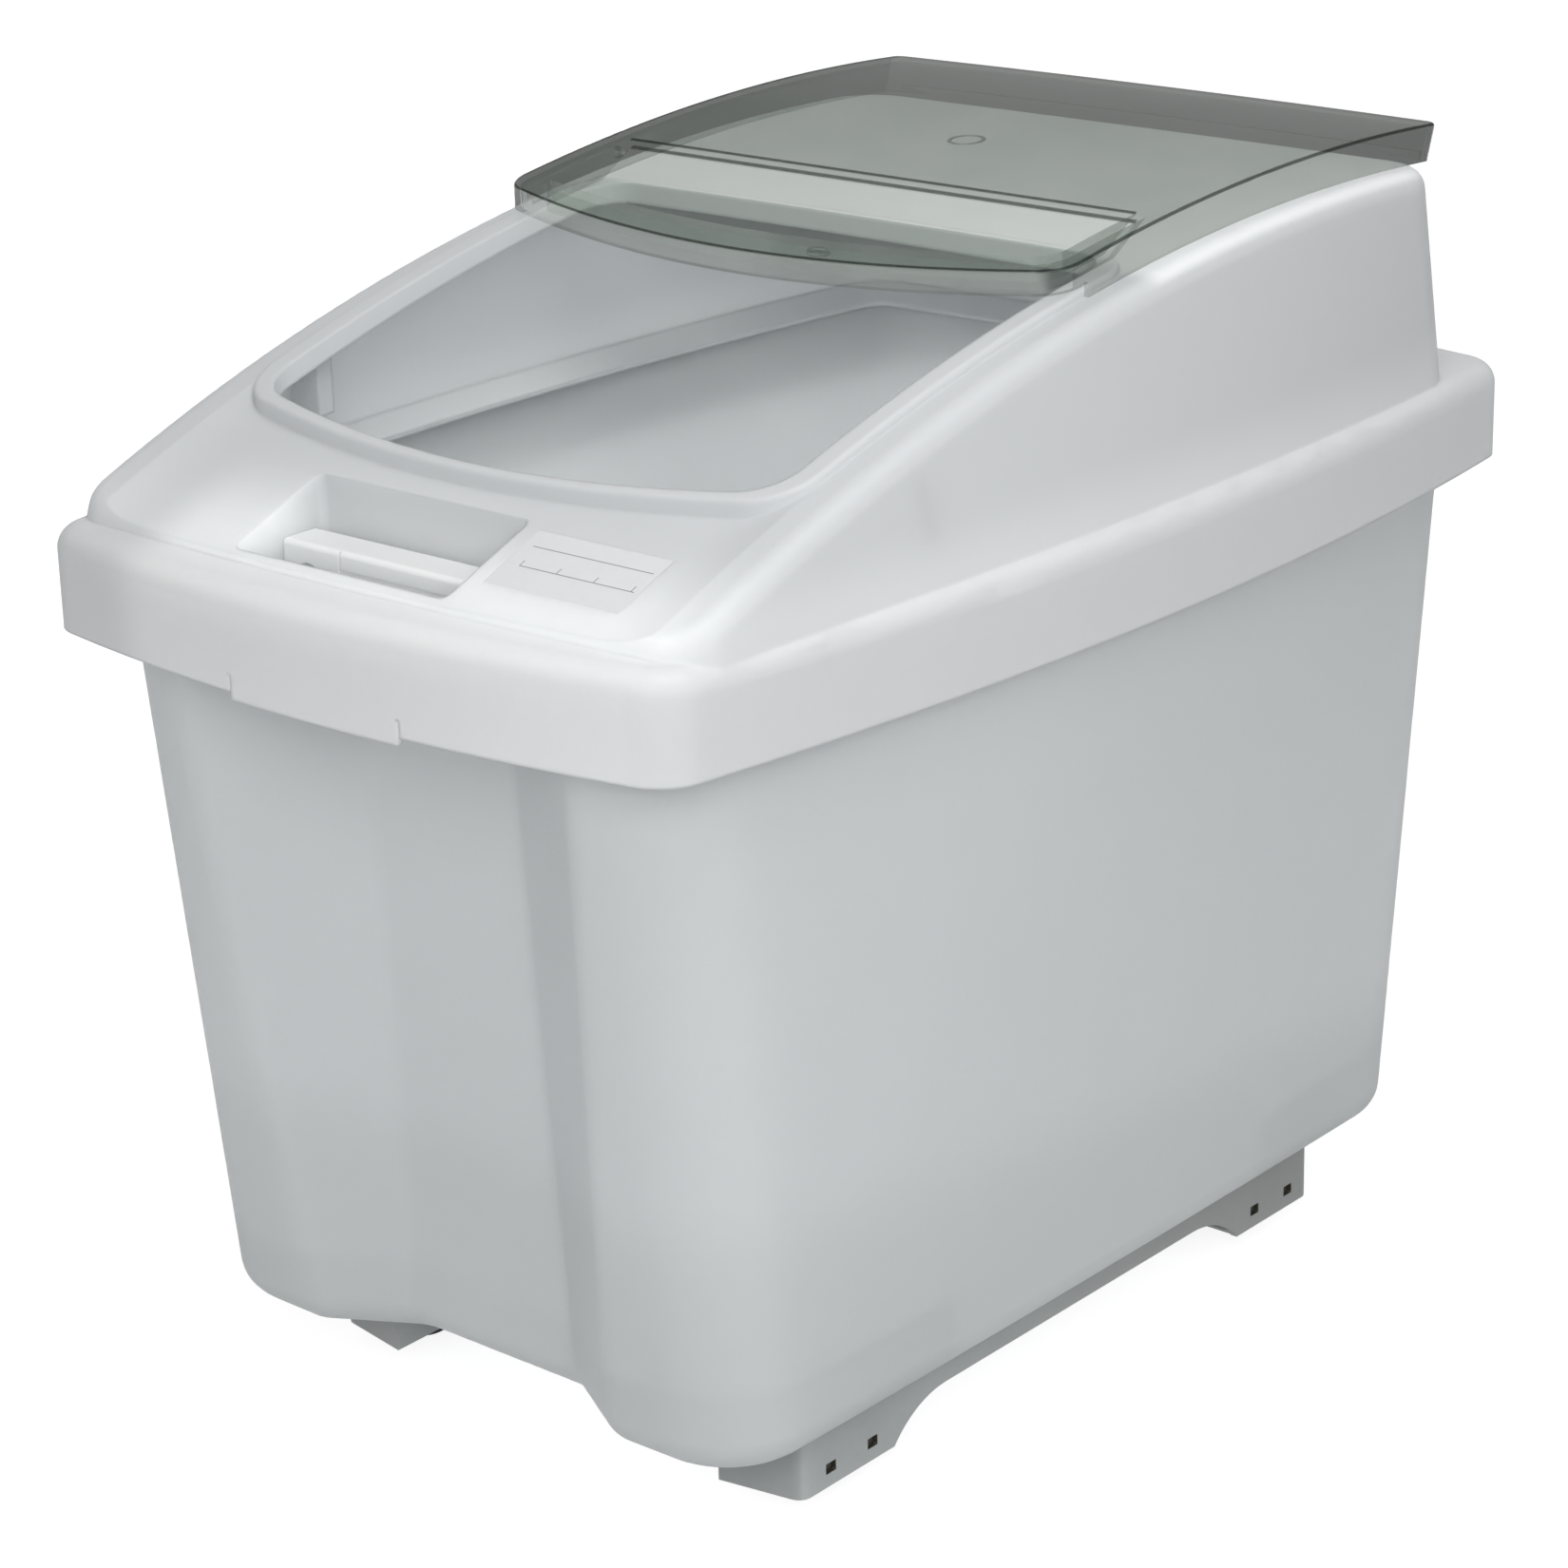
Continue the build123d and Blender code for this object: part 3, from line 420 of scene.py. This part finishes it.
def tub_zone(look):
    """Painted shade below a soft slanted band near the foot, where the inside floor's shadow shows
    through the wall; paler towards the foot and palest just above the band.
    """
    spot = look.split(look.place())
    # Painted shade: the wall is darker below the slanted band
    band = look.ramp(look.scaled(spot["Y"], shade_band_slant, spot["Z"]), shade_band_low_z, shade_band_high_z)
    climb = look.ramp(spot["Z"], tub_low[2], rim_z, tub_foot_gain, 0.0)
    return look.scaled(band, tub_shade_band_gain, look.math("ADD", climb, tub_shade))


def rail_zone(look):
    """Painted shade: paler towards the front and darker towards the back, darker on the faces that look
    forward, and dark inside the small windows of the outer walls.
    """
    spot = look.split(look.place())
    facing = look.split(look.normal())
    # Painted shade: darker towards the back of the rail
    ahead = look.ramp(spot["Y"], rail_low[1], rail_high[1], 1.0, rail_back_painted_shade)
    # Painted shade inside the small windows
    from_window = look.absolute(look.math("SUBTRACT", spot["Z"], window_z))
    window = look.ramp(from_window, window_half, window_half - window_soft)
    wall_x = rail_high[0] - window_wall
    outer = look.ramp(look.absolute(spot["X"]), wall_x, wall_x + window_wall_soft)
    sunk = look.ramp(look.absolute(facing["X"]), *window_slope)
    window = look.product(window, outer, sunk)
    # Painted shade on the faces that look forward
    end_face = look.ramp(facing["Y"], *rail_end_slope, 1.0, rail_front_face_painted_shade)
    return look.product(ahead, end_face, look.math("SUBTRACT", 1.0, window))


def ruled_line(look, spot, from_x, to_x, from_y, to_y):
    """One in a thin printed bar of the label, nought round it."""
    inside = []
    for axis, low, high in (("X", from_x, to_x), ("Y", from_y, to_y)):
        inside.append(look.ramp(spot[axis], low - rule_soft, low + rule_soft))
        inside.append(look.ramp(spot[axis], high + rule_soft, high - rule_soft))
    return look.product(*inside)


def label_zone(look):
    """Pale film with two ruled lines to write on, the lower one with ticks."""
    spot = look.split(look.place())
    left = rule_left + rule_inset
    bars = [
        (rule_left, rule_right, rule_upper_y - rule_half, rule_upper_y + rule_half),
        (left, rule_right, rule_lower_y - rule_half, rule_lower_y + rule_half),
    ]
    tick_gap = (rule_right - rule_left - tick_margin) / (tick_count - 1)
    for step in range(tick_count):
        tick_x = left + step * tick_gap
        bars.append((tick_x - rule_half, tick_x + rule_half, rule_lower_y, rule_lower_y + tick_height))
    print_share = look.largest(0.0, *[ruled_line(look, spot, *bar) for bar in bars])
    return look.math("SUBTRACT", 1.0, look.product(print_share, rule_strength))


def hood_panel(look, spot, level):
    """Where the front panel and the scoop's pocket are, and how much paler painted light makes them
    there.
    """
    ahead = look.ramp(spot["Y"], panel_back_y, panel_front_y)
    left_end = look.ramp(spot["X"], -pale_left - pale_left_fade, -pale_left)
    right_end = look.ramp(spot["X"], pale_right + pale_right_fade, pale_right)
    above_skirt = look.ramp(spot["Z"], rim_z, rim_z + panel_fade)
    pocket = look.scaled(level, panel_level_painted_light_change, pocket_painted_light)
    return look.product(ahead, left_end, right_end), look.scaled(above_skirt, pocket, panel_painted_light)


def hood_zone(look):
    """Painted light: whiter at the skirt, partly for its double wall, on the roof and other level
    faces, and on the front panel with the scoop's pocket.
    """
    spot = look.split(look.place())
    level = look.ramp(look.split(look.normal())["Z"], *hood_level_slope)
    # Painted light: the skirt is whiter, partly for its double wall, and the walls above it darker
    skirt = look.ramp(spot["Z"], skirt_low_z, skirt_high_z, skirt_double_wall_and_painted_light, wall_thin_and_painted_shade)
    behind_opening = look.ramp(spot["Y"], opening_back_y - opening_fade, opening_back_y)
    roof = look.ramp(spot["Z"], roof_low_z, roof_high_z)
    # Painted light on level faces, most on the roof behind the opening
    top = look.scaled(look.product(behind_opening, roof), roof_painted_light, level_painted_light)
    ahead, panel = hood_panel(look, spot, level)
    sides = look.scaled(ahead, panel, skirt)
    return look.scaled(top, level, sides, clamp=True)


def painted_lid_lines(look, across, along, rising, y, inside_trough):
    """Painted dark reflection: one along the lid's rounded edges and its trough's back edge, nought
    elsewhere.
    """
    side_round = look.ramp(look.product(across, rising), *lid_side_slope)
    end_round = look.ramp(look.product(along, rising), *lid_end_slope)
    before_trough = look.ramp(y, trough_front_y, trough_front_y - trough_front_soft)
    end_round = look.product(end_round, before_trough)
    from_edge = look.absolute(look.math("SUBTRACT", y, trough_edge_y))
    edge_line = look.ramp(from_edge, trough_line, trough_line / 2)
    return look.largest(side_round, end_round, look.product(edge_line, inside_trough))


def lid_tint(look, level, line, in_trough):
    """Smoky on the level top, partly painted shade, a little clearer in the trough as a painted
    reflection, clearer on the walls, and dark along the painted lines.
    """
    haze = look.ramp(look.noise(haze_scale), *haze_range)
    # Smoke tint and painted shade on the level top, with a painted reflection in the trough
    smoke_and_shade = look.mix(haze, smoke_and_shade_pale, smoke_and_shade_dark)
    smoke_and_shade = look.mix(in_trough, smoke_and_shade, trough_smoke_and_reflection)
    tint = look.mix(level, wall_clear, smoke_and_shade)
    # Painted dark reflection along the lines
    return look.mix(line, tint, painted_line_dark)


def lid_gloss(look, front_painted_light):
    """Polished face of the lid, with painted light on its front walls."""
    bump = look.bump(look.noise(ripple_scale, 2.0), ripple_strength, ripple_depth)
    wear = look.ramp(look.noise(wear_scale), *wear_range, *wear_roughness)
    gloss = look.add("ShaderNodeBsdfPrincipled")
    look.feed(gloss.inputs["Base Color"], look.mix(front_painted_light, gloss_dark, gloss_painted_light))
    look.feed(gloss.inputs["Roughness"], wear)
    look.feed(gloss.inputs["Normal"], bump.outputs["Normal"])
    gloss.inputs["IOR"].default_value = plastic_ior
    return gloss.outputs["BSDF"]


def lid_gloss_share(look, in_trough, front_painted_light):
    """Share of the polished face, more at a glancing angle, and more on the front walls, where it is
    painted light.
    """
    fresnel = look.add("ShaderNodeFresnel")
    fresnel.inputs["IOR"].default_value = plastic_ior
    strength = look.scaled(in_trough, trough_gloss_change, gloss_strength)
    share = look.scaled(fresnel.outputs[0], strength, gloss_least)
    return look.scaled(front_painted_light, painted_light_share, share)


def clear_lid(name, painted_line_strength):
    """Clear plastic whose level top is smoky, partly painted shade, with clearer walls, painted light
    on the front walls and painted dark lines along its rounded edges.
    """
    look = new_material(name)
    facing = look.split(look.normal())
    across, along, rising = [look.absolute(facing[axis]) for axis in "XYZ"]
    spot = look.split(look.place())
    inside_trough = look.ramp(look.absolute(spot["X"]), trough_half, trough_half - trough_side_soft)
    ahead = look.ramp(spot["Y"], trough_edge_y, trough_edge_y - trough_soft)
    in_trough = look.product(ahead, inside_trough)
    upright = look.ramp(rising, *lid_upright_slope)
    forward = look.ramp(across, *lid_forward_slope)
    # Painted light on the upright front walls ahead of the trough
    front_painted_light = look.product(ahead, look.product(upright, forward))
    # Painted dark reflection lines along the rounded edges and the trough's back edge
    lines = painted_lid_lines(look, across, along, rising, spot["Y"], inside_trough)
    level = look.ramp(rising, *lid_level_slope)
    tint = lid_tint(look, level, look.product(lines, painted_line_strength), in_trough)
    clear = look.add("ShaderNodeBsdfTransparent")
    look.feed(clear.inputs["Color"], tint)
    share = lid_gloss_share(look, in_trough, front_painted_light)
    seen = look.blend(share, clear.outputs[0], lid_gloss(look, front_painted_light))
    shadow = look.add("ShaderNodeBsdfTransparent")
    shadow.inputs["Color"].default_value = wall_clear
    shadow_ray = look.add("ShaderNodeLightPath").outputs["Is Shadow Ray"]
    return look.finish(look.blend(shadow_ray, seen, shadow.outputs[0]))


def turned_steel(name):
    """Turned steel with a fine grain and faint staining."""
    look = new_material(name)
    stain = look.ramp(look.noise(stain_scale, 4.0), *stain_range)
    grain = look.noise(steel_grain_scale, 1.0)
    bump = look.bump(grain, steel_grain_strength, steel_grain_depth)
    steel = look.add("ShaderNodeBsdfPrincipled")
    look.feed(steel.inputs["Base Color"], look.mix(stain, rgb(176, 178, 180), rgb(150, 150, 148)))
    steel.inputs["Metallic"].default_value = 1.0
    look.feed(steel.inputs["Roughness"], look.ramp(stain, 0.0, 1.0, *steel_roughness))
    look.feed(steel.inputs["Normal"], bump.outputs["Normal"])
    return look.finish(steel.outputs["BSDF"])


materials = {
    # Paler and darker colours of the tub, mixed by painted shade
    "tub": moulded_plastic(
        "tub_plastic", rgb(237, 238, 239), rgb(213, 216, 216), tub_zone,
        roughness=0.42, grain=1500.0, edge_radius=0.003, through=0.56,
    ),
    # Paler and darker colours of the hood, mixed by painted light
    "hood": moulded_plastic(
        "hood_plastic", rgb(250, 251, 251), rgb(203, 205, 207), hood_zone,
        roughness=0.4, grain=1500.0, edge_radius=0.003, through=0.36, shine=0.3,
    ),
    "scoop": moulded_plastic(
        "scoop_plastic", rgb(243, 244, 244), rgb(231, 233, 233), even_zone,
        roughness=0.36, grain=1800.0, edge_radius=0.0008, through=0.2,
    ),
    "label": moulded_plastic(
        "label_film", rgb(206, 207, 209), rgb(88, 90, 94), label_zone,
        roughness=0.45, grain=2600.0, edge_radius=0.0002,
    ),
    # The rail's dark colour is painted shade, for its windows, back and forward faces
    "rail": moulded_plastic(
        "rail_plastic", rgb(204, 208, 208), rgb(70, 68, 56), rail_zone,
        roughness=0.45, grain=1600.0, edge_radius=0.001, through=0.25,
    ),
    "plate": moulded_plastic(
        "plate_plastic", rgb(50, 46, 40), rgb(38, 36, 32), even_zone,
        roughness=0.5, grain=1600.0, edge_radius=0.0006,
    ),
    "wheel": moulded_plastic(
        "wheel_plastic", rgb(52, 52, 54), rgb(36, 36, 38), even_zone,
        roughness=0.5, grain=1600.0, edge_radius=0.0006,
    ),
    "tyre": moulded_plastic(
        "tyre_rubber", rgb(24, 24, 25), rgb(16, 16, 17), even_zone,
        roughness=0.85, grain=900.0, edge_radius=0.0006, shine=0.15,
    ),
    "lid": clear_lid("lid_clear", lid_painted_line_strength),
    "steel": turned_steel("axle_steel"),
}

for name, solid in nodes.items():
    solid.data.materials.clear()
    solid.data.materials.append(materials[slot_of_node[name]])

# Small moulded marks

mark_sides = 48
mark_foot = -0.0002


def on_surface(node, point):
    """Nearest point of one part's surface, with the outward direction there."""
    solid = nodes[node]
    local = solid.matrix_world.inverted() @ Vector(point)
    spot, normal = solid.closest_point_on_mesh(local)[1:3]
    outward = solid.matrix_world.to_3x3() @ normal
    return solid.matrix_world @ spot, outward.normalized()


def mark_rings(made, node, point, profile, stretch):
    """The rings of corners of one mark, from its foot to its top."""
    spot, normal = on_surface(node, point)
    across = Vector((0.0, 1.0, 0.0)).cross(normal).normalized()
    along = normal.cross(across)
    rings = []
    for radius, height in profile:
        corners = []
        for step in range(mark_sides):
            angle = 2 * math.pi * step / mark_sides
            offset = across * (radius * stretch * math.cos(angle)) + along * (radius * math.sin(angle))
            corners.append(made.verts.new(spot + offset + normal * height))
        rings.append(corners)
    return rings


def mark_faces(made, rings, ring):
    """Walls between the rings, and two end faces unless the mark is itself a ring."""
    pairs = list(zip(rings, rings[1:]))
    if ring:
        pairs.append((rings[-1], rings[0]))
    else:
        made.faces.new(list(reversed(rings[0])))
        made.faces.new(rings[-1])
    for lower, upper in pairs:
        for step in range(mark_sides):
            after = (step + 1) % mark_sides
            made.faces.new((lower[step], lower[after], upper[after], upper[step]))
    bmesh.ops.recalc_face_normals(made, faces=made.faces[:])


def moulded_mark(name, node, point, profile, material, stretch=1.0, ring=False):
    """A round mark raised on a surface, from rings of the given radius and height."""
    made = bmesh.new()
    mark_faces(made, mark_rings(made, node, point, profile, stretch), ring)
    mesh = bpy.data.meshes.new(name)
    made.to_mesh(mesh)
    made.free()
    for face in mesh.polygons:
        face.use_smooth = True
    mesh.materials.append(material)
    piece = bpy.data.objects.new(name, mesh)
    bpy.context.scene.collection.objects.link(piece)
    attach(piece, body_of(nodes[node])[0])


def ring_profile(radius, width, height):
    """Section of a low raised ring, its foot sunk in the wall."""
    half = width / 2
    shoulder = half * 0.6
    shoulder_height = height * 0.8
    return [
        (radius + half, mark_foot),
        (radius + shoulder, shoulder_height),
        (radius, height),
        (radius - shoulder, shoulder_height),
        (radius - half, mark_foot),
    ]


def nub_profile(radius, height):
    """Section of a low rounded nub, its foot sunk in the wall."""
    steps = [(1.0, -0.15), (0.96, 0.2), (0.85, 0.52), (0.66, 0.78), (0.4, 0.94), (0.15, 1.0)]
    return [(radius * wide, height * tall) for wide, tall in steps]


mark_clear = clear_lid("lid_mark_clear", mark_painted_line_strength)
moulded_mark(
    "lid_gate_ring", "sliding_lid", (0.0057, 0.1281, 0.6435),
    ring_profile(0.0095, 0.0026, 0.0003), mark_clear, ring=True,
)
moulded_mark(
    "lid_front_nub", "sliding_lid", (0.052, -0.0545, 0.622),
    nub_profile(0.0045, 0.0026), mark_clear, stretch=1.7,
)
moulded_mark(
    "lid_corner_lug", "sliding_lid", (-0.1745, 0.0419, 0.6311),
    nub_profile(0.0035, 0.004), mark_clear,
)

# Camera


def camera_turn():
    """Turn of the camera from its yaw, pitch and roll."""
    forward = Vector(
        (
            -math.sin(camera_yaw) * math.cos(camera_pitch),
            math.cos(camera_yaw) * math.cos(camera_pitch),
            -math.sin(camera_pitch),
        )
    )
    level_right = Vector((math.cos(camera_yaw), math.sin(camera_yaw), 0.0))
    level_up = level_right.cross(forward)
    right = math.cos(camera_roll) * level_right + math.sin(camera_roll) * level_up
    up = math.cos(camera_roll) * level_up - math.sin(camera_roll) * level_right
    return Matrix((right, up, -forward)).transposed().to_4x4()


def add_camera():
    """The camera, at its place and turn."""
    data = bpy.data.cameras.new("camera")
    data.lens = camera_lens
    data.sensor_width = camera_sensor
    data.clip_end = camera_reach
    camera = bpy.data.objects.new("camera", data)
    bpy.context.scene.collection.objects.link(camera)
    camera.matrix_world = Matrix.Translation(camera_place) @ camera_turn()
    bpy.context.scene.camera = camera


add_camera()

# Studio


def area_lamp(name, place, target, size, power):
    """A soft round lamp that faces its target."""
    data = bpy.data.lights.new(name, "AREA")
    data.shape = "DISK"
    data.size = size
    data.energy = power
    lamp = bpy.data.objects.new(name, data)
    bpy.context.scene.collection.objects.link(lamp)
    lamp.location = place
    lamp.rotation_euler = (Vector(target) - Vector(place)).to_track_quat("-Z", "Y").to_euler()
    lamp.visible_glossy = name != unmirrored_lamp


def sees_background(look):
    """One for camera, mirror and see-through rays, less through the lid as painted shade, nought for
    rays that light.
    """
    path = look.add("ShaderNodeLightPath").outputs
    seen = look.largest(path["Is Camera Ray"], path["Is Glossy Ray"], path["Is Transmission Ray"])
    return look.product(seen, look.ramp(path["Transparent Depth"], 0.0, 1.0, 1.0, background_shade_through_lid))


def studio_world():
    """White behind the object, with a faint even light."""
    look = Look(bpy.data.worlds.new("studio"), "ShaderNodeOutputWorld")
    soft_fill = look.add("ShaderNodeBackground")
    soft_fill.inputs["Color"].default_value = ambient_colour
    soft_fill.inputs["Strength"].default_value = ambient_strength
    white_back = look.add("ShaderNodeBackground")
    white_back.inputs["Color"].default_value = white
    look.feed(white_back.inputs["Strength"], sees_background(look))
    return look.finish(look.total(soft_fill.outputs[0], white_back.outputs[0]))


def floor_material():
    """Matt pale floor that shows white round the object and keeps a faint shadow."""
    look = new_material("floor_paper")
    matt = look.add("ShaderNodeBsdfDiffuse")
    grain = look.ramp(look.noise(3.0), 0.3, 0.7)
    darker = (floor_grey, floor_grey, floor_grey, 1.0)
    paler = (floor_grey + floor_grain, floor_grey + floor_grain, floor_grey + floor_grain, 1.0)
    look.feed(matt.inputs["Color"], look.mix(grain, darker, paler))
    glow = look.add("ShaderNodeEmission")
    glow.inputs["Color"].default_value = white
    away = look.add("ShaderNodeVectorMath", operation="LENGTH")
    look.feed(away.inputs[0], look.place())
    spread = look.ramp(away.outputs["Value"], glow_near, glow_far, floor_glow, 1.0)
    look.feed(glow.inputs["Strength"], look.product(sees_background(look), spread))
    return look.finish(look.total(matt.outputs[0], glow.outputs[0]))


def add_floor():
    """A wide level floor under the wheels."""
    mesh = bpy.data.meshes.new("floor")
    half = floor_size / 2
    corners = [(-half, -half, 0.0), (half, -half, 0.0), (half, half, 0.0), (-half, half, 0.0)]
    mesh.from_pydata(corners, [], [(0, 1, 2, 3)])
    mesh.materials.append(floor_material())
    piece = bpy.data.objects.new("floor", mesh)
    bpy.context.scene.collection.objects.link(piece)


for name, (place, target, size, power) in lamps.items():
    area_lamp(name, place, target, size, power)
bpy.context.scene.world = studio_world()
add_floor()
bpy.context.scene.view_settings.view_transform = "Standard"
bpy.context.scene.cycles.diffuse_bounces = light_bounces
bpy.context.scene.cycles.transparent_max_bounces = see_through_layers
